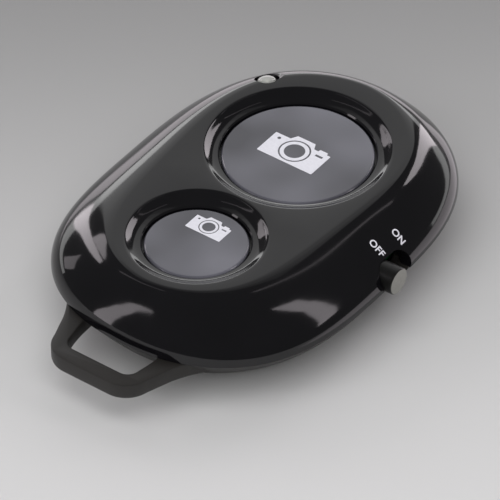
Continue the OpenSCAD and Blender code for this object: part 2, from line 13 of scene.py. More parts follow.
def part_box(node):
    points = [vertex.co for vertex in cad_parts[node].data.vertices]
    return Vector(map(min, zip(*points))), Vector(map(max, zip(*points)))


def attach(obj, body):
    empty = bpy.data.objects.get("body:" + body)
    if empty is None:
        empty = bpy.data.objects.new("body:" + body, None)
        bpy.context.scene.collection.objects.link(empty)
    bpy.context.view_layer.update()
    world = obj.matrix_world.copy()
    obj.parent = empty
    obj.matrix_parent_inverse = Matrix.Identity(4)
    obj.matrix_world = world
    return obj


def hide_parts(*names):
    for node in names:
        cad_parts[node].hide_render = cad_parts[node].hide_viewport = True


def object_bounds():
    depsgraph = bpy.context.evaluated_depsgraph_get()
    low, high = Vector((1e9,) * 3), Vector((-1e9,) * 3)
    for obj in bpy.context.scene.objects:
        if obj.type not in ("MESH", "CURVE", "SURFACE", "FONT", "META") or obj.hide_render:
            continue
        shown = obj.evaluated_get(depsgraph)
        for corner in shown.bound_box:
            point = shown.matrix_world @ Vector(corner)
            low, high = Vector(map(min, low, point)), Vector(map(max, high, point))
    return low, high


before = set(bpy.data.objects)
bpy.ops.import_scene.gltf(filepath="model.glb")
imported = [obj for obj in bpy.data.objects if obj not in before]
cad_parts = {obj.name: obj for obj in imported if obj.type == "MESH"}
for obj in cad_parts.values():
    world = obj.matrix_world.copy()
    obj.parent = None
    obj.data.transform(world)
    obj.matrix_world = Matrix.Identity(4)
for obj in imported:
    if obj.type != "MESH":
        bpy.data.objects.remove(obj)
cad_low, cad_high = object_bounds()

mm = 0.001
# Places closer than this are the same place
near = 0.001 * mm

# Housing: its width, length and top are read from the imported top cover
cover_low, cover_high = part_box("top_cover")
half_w = (cover_high.x - cover_low.x) / 2
half_l = (cover_high.y - cover_low.y) / 2
top_z = cover_high.z
parting_z = 5.2 * mm
top_inset_w = 6.3 * mm
top_inset_l = 4.5 * mm
back_inset_w = 3.9 * mm
back_inset_l = 4.8 * mm
reveal = 0.3 * mm
wall = 1.2 * mm
roof_z = top_z - 1.7 * mm
floor_t = 1.0 * mm
edge_round = 0.1 * mm
edge_step_share = 0.3
crown_inset = 0.15 * mm
overrun = 0.5 * mm
lip_inset = 1.7 * mm
lip_t = 0.6 * mm
lip_h = 0.5 * mm
mouth = lip_inset + lip_t - reveal

# Powers of the superellipses that draw the outlines: across, far end, loop end
edge_shares = (2.1, 2.87, 3.29)
top_shares = (1.8, 3.12, 4.78)
back_shares = (2.1, 3.0, 2.3)
edge_lean_share = 0.01
top_lean_share = -0.146
# Flanks, as shares of the way inwards and of the way up or down. The edge's round takes the lowest share
edge_height_share = 0.03
flank_shares = (
    (0, 0), (0.012, 0.09), (0.035, 0.18), (0.08, 0.28), (0.16, 0.4), (0.285, 0.53),
    (0.43, 0.66), (0.57, 0.775), (0.7, 0.865), (0.82, 0.935), (0.92, 0.98), (1, 1),
)
inner_shares = (
    (0, 0), (0.055, 0.13), (0.15, 0.262), (0.32, 0.477), (0.47, 0.653), (0.62, 0.8), (0.76, 0.91), (0.9, 1),
)
under_shares = ((0, 0), (0.02, 0.07), (0.25, 0.34), (0.5, 0.61), (0.75, 0.84), (0.9, 0.95), (1, 1))
outline_steps = 192

# Buttons and their dished wells
button_gap = 0.2 * mm
well_depth = 0.92 * mm
rim_width = {"large": 1.49 * mm, "small": 1.59 * mm}
rim_round = 0.27 * mm
# A well's section. Over the rim: millimetres outside it, and down from the flat top. Through the
# dish: shares of the way in to the hole, and millimetres down. At the hole: millimetres outside
# it, and down from the dish's depth
rim_section = ((0.24, 0.006), (0.12, 0.035), (0, 0.09), (-0.12, 0.165))
dish_section = ((0.2, 0.28), (0.35, 0.42), (0.5, 0.54), (0.65, 0.635), (0.8, 0.71), (0.92, 0.765))
hole_section = ((0.05, -0.02), (0.015, 0.02), (0, 0.08))
disc_round = 0.3 * mm
disc_foot = 0.06 * mm
disc_flat_step = 0.1 * mm

# Printed marks: the words' places on the flank, and the camera signs' middles and scales
mark_places = {"ON": (14.69 * mm, 3.45 * mm), "OFF": (14.2 * mm, 0.42 * mm)}
mark_height = 0.78 * mm
mark_weight_share = 0.03
capital_share = 0.7
letter_spacing = 1.05
sign_places = {"large": ((-0.42 * mm, 6.6 * mm), 1.0), "small": ((-0.4 * mm, -8.0 * mm), 0.62)}
print_t = 0.02 * mm

# Slide switch
knob_low, knob_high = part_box("power_switch_knob")
knob_r = (knob_high.z - knob_low.z) / 2
knob_y = (knob_low.y + knob_high.y) / 2
knob_z = (knob_low.z + knob_high.z) / 2
knob_travel = 2.0 * mm
knob_round = 0.18 * mm
# Depth from the knob's end within which faces take the lighter grey, partly painted light
lit_face_depth = 0.02 * mm
slot_r = knob_r + 0.08 * mm
slot_start = knob_low.x - 0.4 * mm
slot_end = half_w + 2 * mm

# Status lamp
lamp_place = Vector((-9.4 * mm, 14.1 * mm, 10.2 * mm))
lamp_azimuth = 135
lamp_elevation = 68
lamp_r = 1.0 * mm
lamp_dome_h = 0.55 * mm
lamp_proud = 0.07 * mm
lamp_hole_r = 1.3 * mm
lamp_lip_low = -0.22 * mm
lamp_lip_round = 0.12 * mm
lamp_lip_reach = 2 * mm
lamp_lip_rise = 0.8 * mm
lamp_l = 2.3 * mm
lamp_flange_r = 1.15 * mm
lamp_flange_t = 0.4 * mm
# The lamp's metal cup: radius and height below the lens's top, in millimetres
cup_section = (
    (0.16, -2.1), (0.16, -1.35), (0.42, -1.2), (0.5, -0.85), (0.4, -0.85), (0.28, -1.05), (0.12, -1.05),
)

# Strap loop and its strap hole. Sides: half width and place along the length. Corners: place across
# and radius. Sections: how far in from the plan outline, and height. All but the corners in millimetres
loop_x = -0.4 * mm
loop_tip = cad_low.y
loop_bar = 1.85 * mm
loop_side = (
    (9.6, -17.5), (9.4, -18.6), (8.68, -19.94), (7.58, -21.54), (6.8, -23.0), (6.25, -24.5), (5.78, -25.8),
)
loop_corner = (2.8 * mm, 3.0 * mm)
loop_section = ((0.2, 5.15), (0.06, 5.09), (0, 4.95), (0, 3.7), (0.06, 3.46), (0.24, 3.3))
strap_side = ((4.66, -19.5), (4.62, -21.5), (4.56, -22.9), (4.4, -24.2), (4.2, -25.2))
strap_corner = (2.9 * mm, 1.3 * mm)
strap_section = ((-0.16, 5.3), (-0.16, 5.15), (-0.05, 5.1), (0, 4.98), (0, 3.6), (-0.16, 3.3), (-0.16, 3.1))

# Battery bay and its sliding cover
bay_half_w = 10.6 * mm
bay_front = -8.2 * mm
bay_back = 13.5 * mm
bay_wall = 1.0 * mm
groove_depth = 0.7 * mm
rail_back = 0.5 * mm
slide_gap = 0.1 * mm
running_gap = 0.05 * mm
cover_bottom = 0.1 * mm
cover_top = 0.9 * mm
cover_rise = 2.8 * mm
tongue_t = 0.35 * mm
tongue_l = 16.0 * mm
grip_l = 8.0 * mm
grip_w = 0.5 * mm
grip_depth = 0.25 * mm
grip_round = 0.12 * mm
grip_grooves = 3
grip_pitch = 1.2 * mm
grip_y = 12.6 * mm

# Board and screws
board_low, board_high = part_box("circuit_board")
case_places = ((-7.9 * mm, -12.8 * mm), (7.9 * mm, -12.8 * mm))
board_places = ((-8.9 * mm, -6.6 * mm), (8.9 * mm, -6.6 * mm), (0, 17.6 * mm))
case_joint_z = 3.9 * mm
sleeve_r = 1.95 * mm
boss_r = 1.6 * mm
boss_root = 0.3 * mm
pilot_r = 0.77 * mm
case_seat_z = 1.2 * mm
seat_r = 1.5 * mm
seat_mouth_r = 1.65 * mm
seat_chamfer = 0.12 * mm
shank_hole_r = 0.85 * mm
# Screws: head radius and height, then thread radius and length
case_screw = (1.4 * mm, 0.9 * mm, 0.75 * mm, 5 * mm)
board_screw = (1.2 * mm, 0.8 * mm, 0.65 * mm, 3.2 * mm)
thread_pitch = 0.5 * mm
head_shares = ((0.55, 1), (0.85, 0.9), (1, 0.55), (1, 0))
root_share = 0.75
tip_share = 0.3
crest_shares = (0.2, 0.4)
recess_shares = (0.6, 0.13, 0.5)

# Coin cell, in millimetres: how far in from its radius, and how far up from its foot or down from its top
cell_foot = ((0.9, 0), (0.45, 0.03), (0.15, 0.14), (0, 0.45))
cell_shoulder = ((0, 0.6), (0.15, 0.35), (0.6, 0.27), (1.3, 0.27), (1.5, 0.1), (1.8, 0))
plus_arm = 1.6 * mm
plus_half_w = 0.16 * mm
plus_depth = 0.06 * mm

# The middle range of a noise, where most of its values lie
noise_middle = {"From Min": 0.3, "From Max": 0.7}

# Camera: its target on the object, and the direction and distance from there back to it
camera_target = Vector((5.54 * mm, -9.14 * mm, 10.4 * mm))
camera_back = Vector((0.44832, -0.61042, 0.65299))
camera_distance = 516 * mm
camera_lens = 375.2
camera_clip = (10 * mm, 10)

# Studio: the floor's colour darkens from front to back, along a level direction. This is painted shade that
# stands for the light falling off towards the back
floor_r = 0.6
floor_near_tone, floor_painted_shade_tone = "#dcdcdc", "#868686"
painted_shade_along = (-0.592, 0.806, 0)
painted_shade_start, painted_shade_end = -50 * mm, 70 * mm
surround = "#606060"
# Lamps and lit cards stand this far from the middle of the object
lamp_distance = 1.2
lamp_target = Vector((0, 0, top_z / 2))
# Soft banks: azimuth, elevation, the angles across and upwards in degrees, and radiance
soft_banks = (
    ("Back softbox, lowest layer", 126, 25, 53, 54, 0.18),
    ("Back softbox, second layer", 126, 28, 53, 60, 0.18),
    ("Back softbox, third layer", 126, 31, 53, 66, 0.18),
    ("Back softbox, highest layer", 126, 34, 53, 72, 0.18),
    ("Low left bank", 166, 2, 46, 9, 1.5),
    ("Low back bank", 120, 2, 46, 9, 1.3),
    ("Low right bank", 74, 2, 46, 9, 1.5),
)
front_fill = ("High front fill", -75, 58, 75, 75, 1.6)
# Lit cards whose shapes show in the gloss: radiance, then corners by azimuth and elevation
lit_cards = (
    ("Left window", 4.0, ((151, -5), (157, 1), (163, 9), (169, 16), (178, 25), (187, 32), (184, 34),
                          (173, 28), (163, 18), (157, 9), (151, 1))),
    ("Right window", 4.4, ((92, -4), (89, 5), (87, 12), (82, 21), (78, 26), (73, 33), (70, 39),
                           (71, 41), (78, 37), (83, 32), (88, 27), (92, 19), (96, 10), (102, -5))),
    ("Near left window", 3.1, ((225, -3), (225, 10), (225, 23), (227, 31), (232, 36), (240, 41), (250, 45),
                               (249, 43), (240, 37), (236, 28), (237, 10), (237, -3))),
    ("Near right window", 3.2, ((24, 60), (34, 56), (40, 52), (42, 47), (41, 43), (37, 35), (31, 23),
                                (20, 22), (23, 28), (31, 44), (34, 49), (32, 53), (26, 58))),
    ("Small left window", 1.4, ((177, 9), (186, 8), (188, 18), (179, 19))),
    ("Well window", 2.8, ((183, 35), (173, 28.5), (166, 21.5), (162, 25), (158.5, 30), (160, 35), (168, 35),
                          (177, 36))),
    ("Right edge line", 1.1, ((63.4, 44), (64.4, 53), (64.6, 60), (60, 70), (63, 70), (67, 60), (66.4, 53),
                              (65.2, 44))),
    ("Left edge line", 1.1, ((191, 45), (201, 60), (208, 72), (212, 72), (204, 59.5), (193.5, 44.5))),
)
# Lit sheets that lie just above the floor outside the picture: radiance, then corners in millimetres
sheet_z = 0.3 * mm
floor_sheets = (
    ("Right sheet", 1.2, ((-20, 77), (41.5, -14), (165, 70), (104, 161))),
    ("Left sheet", 1.2, ((-81, -4), (3, 58), (-174, 300), (-258, 239))),
)


def clear():
    """Goes to object mode with nothing selected."""
    if bpy.context.object and bpy.context.object.mode != "OBJECT":
        bpy.ops.object.mode_set(mode="OBJECT")
    bpy.ops.object.select_all(action="DESELECT")


def only(obj):
    """Selects one object and makes it active."""
    clear()
    obj.select_set(True)
    bpy.context.view_layer.objects.active = obj


def place(obj, points):
    """Moves the selected vertices, in their own order, to the points."""
    edit = bmesh.from_edit_mesh(obj.data)
    for vertex, point in zip([v for v in edit.verts if v.select], points):
        vertex.co = point
    bmesh.update_edit_mesh(obj.data)


def start_outline(name, points):
    """A new object, in edit mode, that holds one closed outline."""
    clear()
    bpy.ops.mesh.primitive_circle_add(vertices=len(points), fill_type="NOTHING")
    obj = bpy.context.object
    obj.name = obj.data.name = name
    bpy.ops.object.mode_set(mode="EDIT")
    place(obj, points)
    return obj


def add_outline(obj, points):
    """Adds a closed outline to the mesh in edit mode, and leaves it selected."""
    bpy.ops.mesh.select_all(action="DESELECT")
    bpy.ops.mesh.primitive_circle_add(vertices=len(points), fill_type="NOTHING")
    place(obj, points)


def extrude_through(obj, rings):
    """Extrudes the selected outline from ring to ring."""
    for points in rings:
        bpy.ops.mesh.extrude_edges_move(TRANSFORM_OT_translate={"value": (0, 0, 0)})
        place(obj, points)


def pick_edges(obj, test):
    """Selects the open edges of the mesh in edit mode whose two ends both pass the test."""
    bpy.ops.mesh.select_all(action="DESELECT")
    edit = bmesh.from_edit_mesh(obj.data)
    for edge in edit.edges:
        if len(edge.link_faces) < 2 and all(test(v.co) for v in edge.verts):
            edge.select_set(True)
    bmesh.update_edit_mesh(obj.data)


def close(obj):
    """Turns the faces outwards and leaves edit mode."""
    bpy.ops.mesh.select_all(action="SELECT")
    bpy.ops.mesh.normals_make_consistent(inside=False)
    bpy.ops.object.mode_set(mode="OBJECT")
    return obj


def lofted(name, rings):
    """A closed solid through outlines, listed from one end to the other."""
    obj = start_outline(name, rings[0])
    extrude_through(obj, rings[1:])
    for ring in (rings[0], rings[-1]):
        bpy.ops.mesh.select_all(action="DESELECT")
        edit = bmesh.from_edit_mesh(obj.data)
        edit.verts.ensure_lookup_table()
        first = 0 if ring is rings[0] else len(edit.verts) - len(ring)
        for vertex in edit.verts[first:first + len(ring)]:
            vertex.select_set(True)
        edit.select_flush(True)
        bmesh.update_edit_mesh(obj.data)
        bpy.ops.mesh.edge_face_add()
    return close(obj)


def turned(name, profile, centre=(0, 0), steps=96):
    """A solid of revolution about an upright axis, from (radius, height) pairs."""
    return lofted(name, [circle_points(*centre, radius, height, steps) for radius, height in profile])


def box_solid(name, low, high):
    """A box between two corners, for cutting and joining."""
    clear()
    low, high = Vector(low), Vector(high)
    bpy.ops.mesh.primitive_cube_add(size=1, location=(low + high) / 2, scale=high - low)
    bpy.ops.object.transform_apply()
    obj = bpy.context.object
    obj.name = obj.data.name = name
    return obj


def reshape(obj, kind, **settings):
    """Changes a solid's shape by one modifier with these settings."""
    only(obj)
    modifier = obj.modifiers.new("Shape", kind)
    for name, value in settings.items():
        setattr(modifier, name, value)
    bpy.ops.object.modifier_apply(modifier=modifier.name)
    return obj


def combine(obj, other, how):
    """Joins, cuts or crosses a solid with another one, which is used up."""
    reshape(obj, "BOOLEAN", operation=how, solver="MANIFOLD", object=other)
    bpy.data.objects.remove(other)
    return obj


def cut(obj, cutter):
    """Cuts one solid with another one, which is used up."""
    return combine(obj, cutter, "DIFFERENCE")


def smooth(obj, angle=35):
    """Shades the faces smooth across edges flatter than an angle, in degrees."""
    only(obj)
    bpy.ops.object.shade_smooth_by_angle(angle=math.radians(angle))
    return obj


def copy_of(obj, name):
    """A second object with its own mesh."""
    other = obj.copy()
    other.data = obj.data.copy()
    other.name = other.data.name = name
    bpy.context.collection.objects.link(other)
    return other


def surface_tree(mesh):
    """A search tree of a mesh's faces, in millimetres, because faces this small get lost in metres."""
    return BVHTree.FromPolygons([v.co / mm for v in mesh.vertices], [p.vertices[:] for p in mesh.polygons])


def keep_gloss(obj, uncut):
    """Gives the faces round a cut the uncut surface's own normals, so that the reflections run on."""
    # A face belongs to the uncut surface if it is this close, in millimetres, and turned this alike
    close_by, alike, roughly_alike = 0.02, 0.95, 0.9
    tiny = 1e-8
    source = uncut.data
    tree = surface_tree(source)
    corners = [Vector(n.vector) for n in source.corner_normals]
    mesh = obj.data
    normals = [Vector(n.vector) for n in mesh.corner_normals]
    for face in mesh.polygons:
        _, direction, _, distance = tree.find_nearest(face.center / mm)
        if distance > close_by or direction.dot(face.normal) < alike:
            continue
        for loop in face.loop_indices:
            co = mesh.vertices[mesh.loops[loop].vertex_index].co
            _, _, index, _ = tree.find_nearest(co / mm)
            blended = Vector()
            for source_loop in source.polygons[index].loop_indices:
                gap = (source.vertices[source.loops[source_loop].vertex_index].co - co).length / mm
                blended += corners[source_loop] / (gap ** 2 + tiny)
            if blended.normalized().dot(face.normal) > roughly_alike:
                normals[loop] = blended.normalized()
    mesh.normals_split_custom_set(normals)
    bpy.data.objects.remove(uncut)
    return obj


def finish_piece(obj, body, material, slot, *stands_for):
    """Gives a finished piece its material, ties it to its body and hides the imported parts it stands for."""
    obj.data.materials.clear()
    obj.data.materials.append(material)
    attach(obj, body)
    if stands_for:
        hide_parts(*stands_for)
    return obj


def mix(a, b, share):
    return a + (b - a) * share


def towards(azimuth, elevation):
    """The direction with this azimuth from +X and this elevation, in degrees."""
    turn, rise = math.radians(azimuth), math.radians(elevation)
    return Vector((math.cos(rise) * math.cos(turn), math.cos(rise) * math.sin(turn), math.sin(rise)))


def spline(points, fine):
    """Points on a smooth curve through the given ones, with fine steps between each two."""
    padded = [points[0], *points, points[-1]]
    curve = []
    for around in zip(padded, padded[1:], padded[2:], padded[3:]):
        for step in range(fine):
            t = step / fine
            curve.append(tuple(
                b + t / 2 * (c - a + t * (2 * a - 5 * b + 4 * c - d) + t ** 2 * (3 * b - a - 3 * c + d))
                for a, b, c, d in zip(*around)
            ))
    return curve + [tuple(points[-1])]


def circle_points(x, y, radius, z, steps=96):
    turns = [math.tau * i / steps for i in range(steps)]
    return [Vector((x + radius * math.cos(t), y + radius * math.sin(t), z)) for t in turns]


def outline(a, b, shares, lean, z):
    """One level outline: a superellipse with its own power at each end, leaning as it goes."""
    fine = 1e-9
    points = []
    for i in range(outline_steps):
        turn = math.tau * i / outline_steps
        c, s = math.cos(turn), math.sin(turn)
        end_power = shares[1] if s >= 0 else shares[2]
        # The reach at which the superellipse lies this way, found by halving
        low, high = 0.5, 1.5
        while high - low > fine:
            reach = (low + high) / 2
            inside = abs(reach * c) ** shares[0] + abs(reach * s) ** end_power < 1
            low, high = (reach, high) if inside else (low, reach)
        points.append(Vector((a * low * c * (1 - lean * low * s), b * low * s, z)))
    return points


def top_ring(share, shrink, z):
    """The top cover's outline at a share of its way inwards, shrunk all round by a width."""
    shares = [mix(edge, top, share) for edge, top in zip(edge_shares, top_shares)]
    a = half_w - share * top_inset_w - shrink
    b = half_l - share * top_inset_l - shrink
    return outline(a, b, shares, mix(edge_lean_share, top_lean_share, share), z)


def under_ring(share, shrink, z):
    """The same for the form below the parting line."""
    shares = [mix(edge, back, share) for edge, back in zip(edge_shares, back_shares)]
    a = half_w - mix(reveal, back_inset_w, share) - shrink
    b = half_l - mix(reveal, back_inset_l, share) - shrink
    return outline(a, b, shares, edge_lean_share * (1 - share), z)


def under_form(name):
    """The whole form below the parting line, as one solid."""
    rings = [under_ring(share, 0, parting_z * (1 - down)) for share, down in spline(under_shares, 4)]
    return lofted(name, rings)


def inset(points, width, z):
    """A closed outline, listed anticlockwise, moved inwards and lifted from the table to a height."""
    moved = []
    for before, point, after in zip(points[-1:] + points[:-1], points, points[1:] + points[:1]):
        along = (after - before).normalized()
        moved.append(point + Vector((-width * along.y, width * along.x, z)))
    return moved


def loop_outline(side, corner, tip_y):
    """A plan outline: two splined sides that end in round corners at the tip."""
    corner_x, radius = corner
    right = [Vector((x * mm, y * mm, 0)) for x, y in spline(side, 4)]
    first = math.atan2(right[-1].y - tip_y - radius, right[-1].x - corner_x)
    steps = 12
    for i in range(1, steps + 1):
        turn = mix(first, -math.pi / 2, i / steps)
        x, y = corner_x + radius * math.cos(turn), tip_y + radius * (1 + math.sin(turn))
        right.append(Vector((x, y, 0)))
    left = [Vector((-p.x, p.y, 0)) for p in right]
    return [p + Vector((loop_x, 0, 0)) for p in left + right[::-1]]


def button_wells():
    """Each well's name, place along the length, hole's radius and rim's outer radius, from its disc."""
    wells = []
    for name in ("large", "small"):
        low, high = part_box(name + "_button_disc")
        hole_r = (high.x - low.x) / 2 + button_gap
        wells.append((name, (low.y + high.y) / 2, hole_r, hole_r + rim_width[name] + rim_round))
    return wells


def well_profile(name, hole_r):
    """(radius, height) pairs from the flat top, over the rim, through the dish and down the hole."""
    rim_r = hole_r + rim_width[name]
    over_rim = [(rim_r + out * mm, top_z - down * mm) for out, down in rim_section]
    through_dish = [(mix(rim_r, hole_r, share), top_z - down * mm) for share, down in dish_section]
    down_hole = [(hole_r + out * mm, top_z - well_depth - down * mm) for out, down in hole_section]
    return over_rim + through_dish + down_hole + [(hole_r, roof_z)]


def slot_cutter():
    """The stadium in which the knob slides, along +X."""
    steps = 24
    points = []
    for side, y in ((1, knob_y), (-1, knob_y + knob_travel)):
        for i in range(steps + 1):
            turn = side * math.pi / 2 + math.pi * i / steps
            points.append((y + slot_r * math.cos(turn), knob_z + slot_r * math.sin(turn)))
    return lofted("slot_cutter", [[Vector((x, y, z)) for y, z in points] for x in (slot_start, slot_end)])


def put_at_lamp(obj):
    """Turns a piece modelled about +Z so that its top looks out along the lamp's axis."""
    turn = Vector((0, 0, 1)).rotation_difference(towards(lamp_azimuth, lamp_elevation)).to_matrix().to_4x4()
    obj.data.transform(Matrix.Translation(lamp_place) @ turn)
    return obj


def sink_wells(shell):
    """Closes the flat top round the two wells, and draws each well's rim, dish and hole down from it."""
    for _, y, _, outer_r in button_wells():
        add_outline(shell, circle_points(0, y, outer_r, top_z, 128))
    pick_edges(shell, lambda co: abs(co.z - top_z) < near)
    bpy.ops.mesh.fill(use_beauty=True)
    for name, y, hole_r, outer_r in button_wells():
        pick_edges(shell, lambda co: abs(math.hypot(co.x, co.y - y) - outer_r) < near)
        rings = [circle_points(0, y, radius, z, 128) for radius, z in well_profile(name, hole_r)]
        extrude_through(shell, rings)


def add_bosses(shell):
    """Joins the screw bosses to the roof and drills them."""
    for places, low in ((case_places, case_joint_z), (board_places, board_high.z)):
        for x, y in places:
            combine(shell, turned("boss", [(boss_r, low), (boss_r, roof_z + boss_root)], (x, y), 48), "UNION")
            drill = turned("drill", [(pilot_r, low - overrun), (pilot_r, roof_z - overrun)], (x, y), 32)
            cut(shell, drill)


def lamp_hole():
    """The cutter of the lamp's hole, which opens out over a rounded lip."""
    profile = [(lamp_hole_r, -lamp_l)]
    step = 16
    for degrees in range(0, 90, step):
        turn = math.radians(degrees)
        profile.append((lamp_hole_r + lamp_lip_round * (1 - math.cos(turn)),
                        lamp_lip_low + lamp_lip_round * math.sin(turn)))
    profile.append((lamp_hole_r + lamp_lip_reach, lamp_lip_low + lamp_lip_round + lamp_lip_rise))
    return put_at_lamp(turned("lamp_hole", profile, steps=64))


def make_top_shell():
    """The glossy upper cover: one closed shell with two dished wells and the screw bosses."""
    edge_step = edge_round * edge_step_share
    rings = [top_ring(0, edge_round, parting_z), top_ring(0, edge_step, parting_z + edge_step)]
    rings += [top_ring(share, 0, mix(parting_z, top_z, up))
              for share, up in spline(flank_shares, 3) if up > edge_height_share]
    shell = start_outline("top_shell", rings[0])
    extrude_through(shell, rings[1:] + [top_ring(1, crown_inset, top_z)])
    sink_wells(shell)
    pick_edges(shell, lambda co: abs(co.z - parting_z) < near)
    inner = [top_ring(share, wall, mix(parting_z, roof_z, up)) for share, up in spline(inner_shares, 2)]
    extrude_through(shell, inner)
    pick_edges(shell, lambda co: abs(co.z - roof_z) < near)
    bpy.ops.mesh.fill(use_beauty=True)
    close(shell)
    uncut = smooth(copy_of(shell, "uncut_top"))
    add_bosses(shell)
    cut(shell, slot_cutter())
    cut(shell, lamp_hole())
    return keep_gloss(smooth(shell), uncut)


def make_strap_loop():
    """The strap loop, with its strap hole cut through."""
    outer = loop_outline(loop_side, loop_corner, loop_tip)
    loop = lofted("strap_loop", [inset(outer, width * mm, z * mm) for width, z in loop_section])
    inner = loop_outline(strap_side, strap_corner, loop_tip + loop_bar)
    hole = lofted("strap_hole", [inset(inner, width * mm, z * mm) for width, z in strap_section])
    return cut(loop, hole)


def bay_room():
    """The room inside the lower cover, which leaves the battery bay's walls and the screw sleeves."""
    rim = [under_ring(0, mouth, z) for z in (parting_z, parting_z + overrun)]
    room = lofted("room", [under_ring(1, wall / 2, floor_t)] + rim)
    outer_x = bay_half_w + groove_depth + rail_back
    for low_x, high_x in ((-outer_x, -bay_half_w), (bay_half_w, outer_x)):
        rail = box_solid("rail", (low_x, bay_front - bay_wall, 0), (high_x, bay_back + bay_wall, board_low.z))
        cut(room, rail)
    for y in (bay_front - bay_wall, bay_back):
        end = box_solid("end", (-outer_x, y, 0), (outer_x, y + bay_wall, board_low.z))
        cut(room, end)
    for centre in case_places:
        sleeve = turned("sleeve", [(sleeve_r, 0), (sleeve_r, case_joint_z)], centre, 64)
        cut(room, sleeve)
    return room


def cut_openings(shell):
    """Cuts the battery cover's opening and grooves, and the case screws' holes."""
    far = half_l + overrun
    groove_x = bay_half_w + groove_depth
    openings = (
        (bay_half_w, bay_front, -overrun, cover_top + slide_gap),
        (bay_half_w, bay_back + bay_wall, -overrun, cover_rise + slide_gap),
        (groove_x, bay_front, cover_top - tongue_t - running_gap, cover_top + running_gap),
    )
    for x, front, low_z, high_z in openings:
        cut(shell, box_solid("opening", (-x, front, low_z), (x, far, high_z)))
    seat = [(seat_mouth_r, -overrun), (seat_mouth_r, 0), (seat_r, seat_chamfer), (seat_r, case_seat_z),
            (shank_hole_r, case_seat_z), (shank_hole_r, case_joint_z + overrun)]
    for centre in case_places:
        cut(shell, turned("screw_hole", seat, centre, 64))


def make_bottom_shell():
    """The matte lower cover: its shell, the strap loop, the battery bay and the screw sleeves."""
    shell = under_form("bottom_shell")
    uncut = smooth(copy_of(shell, "uncut_bottom"))
    combine(shell, make_strap_loop(), "UNION")
    cut(shell, bay_room())
    cut_openings(shell)
    lip, bore = (
        lofted(name, [under_ring(0, shrink, z) for z in (parting_z - reach, parting_z + reach)])
        for name, shrink, reach in (("lip", lip_inset - reveal, lip_h), ("bore", mouth, 2 * lip_h))
    )
    cut(lip, bore)
    combine(shell, lip, "UNION")
    cut(shell, slot_cutter())
    return keep_gloss(smooth(shell), uncut)


def make_battery_door():
    """The sliding battery cover: its plate, risen end, tongues and finger grip."""
    door = under_form("battery_door")
    uncut = smooth(copy_of(door, "uncut_door"))
    side = bay_half_w - slide_gap
    front = bay_front + slide_gap
    plate = box_solid("plate", (-side, front, cover_bottom), (side, half_l, cover_top))
    low = (-side, bay_back + bay_wall + slide_gap, cover_bottom)
    combine(plate, box_solid("rise", low, (side, half_l, cover_rise)), "UNION")
    combine(door, plate, "INTERSECT")
    tongue_x = side + groove_depth
    low = (-tongue_x, front, cover_top - tongue_t)
    combine(door, box_solid("tongues", low, (tongue_x, front + tongue_l, cover_top)), "UNION")
    rings = [under_ring(1, wall / 2, floor_t - slide_gap), under_ring(0, mouth, parting_z - slide_gap)]
    cut(door, lofted("room", rings))
    for i in range(grip_grooves):
        y = grip_y + i * grip_pitch
        low = (-grip_l / 2, y, cover_bottom - overrun)
        groove = box_solid("groove", low, (grip_l / 2, y + grip_w, grip_depth))
        cut(door, reshape(groove, "BEVEL", width=grip_round, segments=3))
    return keep_gloss(smooth(door), uncut)


def rounded_rim(radius, height, size, steps):
    """(radius, height) pairs that round the upper rim of a turned piece."""
    turns = [math.pi / 2 * i / steps for i in range(steps + 1)]
    return [(radius - size * (1 - math.cos(turn)), height - size * (1 - math.sin(turn))) for turn in turns]


def make_button_disc(name):
    """A button's printed cap disc: flat, with a full round along its upper edge."""
    low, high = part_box(name + "_button_disc")
    radius = (high.x - low.x) / 2
    profile = [(radius - disc_foot, low.z), (radius, low.z + disc_foot)]
    profile += rounded_rim(radius, high.z, disc_round, 8)
    profile.append((radius - disc_round - disc_flat_step, high.z))
    return smooth(turned(name + "_cap", profile, (0, (low.y + high.y) / 2), 128))


def rounded_shape(corners, radius, steps=4):
    """A flat outline with its corners rounded."""
    points = []
    corners = [Vector(c) for c in corners]
    for before, corner, after in zip(corners[-1:] + corners[:-1], corners, corners[1:] + corners[:1]):
        start = corner + (before - corner).normalized() * radius
        end = corner + (after - corner).normalized() * radius
        for i in range(steps + 1):
            t = i / steps
            points.append((1 - t) ** 2 * start + 2 * t * (1 - t) * corner + t * t * end)
    return points


def camera_sign(name, centre, scale, z):
    """A plain camera sign of flat ink, drawn in millimetres about its middle and then scaled."""
    body = [(-3.4, -1.85), (3.4, -1.85), (3.4, 1.55), (2.9, 1.55), (2.9, 1.85), (1.9, 1.85), (1.9, 1.55),
            (1.35, 1.55), (1.0, 2.3), (-1.2, 2.3), (-1.6, 1.55), (-3.4, 1.55)]
    body_round = 0.12
    slot = [(1.95, 0.75), (2.85, 0.75), (2.85, 1.05), (1.95, 1.05)]
    slot_round = 0.06
    window, window_r = (-2.6, 0.95), 0.2
    lens, lens_radii = (-0.1, 0.15), (1.7, 1.52, 1.1)
    shapes = [rounded_shape(body, body_round), rounded_shape(slot, slot_round)]
    shapes += [circle_points(*window, window_r, 0, 20)]
    shapes += [circle_points(*lens, radius, 0, 48) for radius in lens_radii]
    curve = bpy.data.curves.new(name, "CURVE")
    curve.dimensions = "2D"
    curve.fill_mode = "BOTH"
    curve.extrude = print_t / 2
    for shape in shapes:
        path = curve.splines.new("POLY")
        path.points.add(len(shape) - 1)
        for point, corner in zip(path.points, shape):
            point.co = (corner.x * mm * scale, corner.y * mm * scale, 0, 1)
        path.use_cyclic_u = True
    sign = bpy.data.objects.new(name, curve)
    bpy.context.collection.objects.link(sign)
    return flat_print(sign, Matrix.Translation((centre[0], centre[1], z + print_t / 2)))


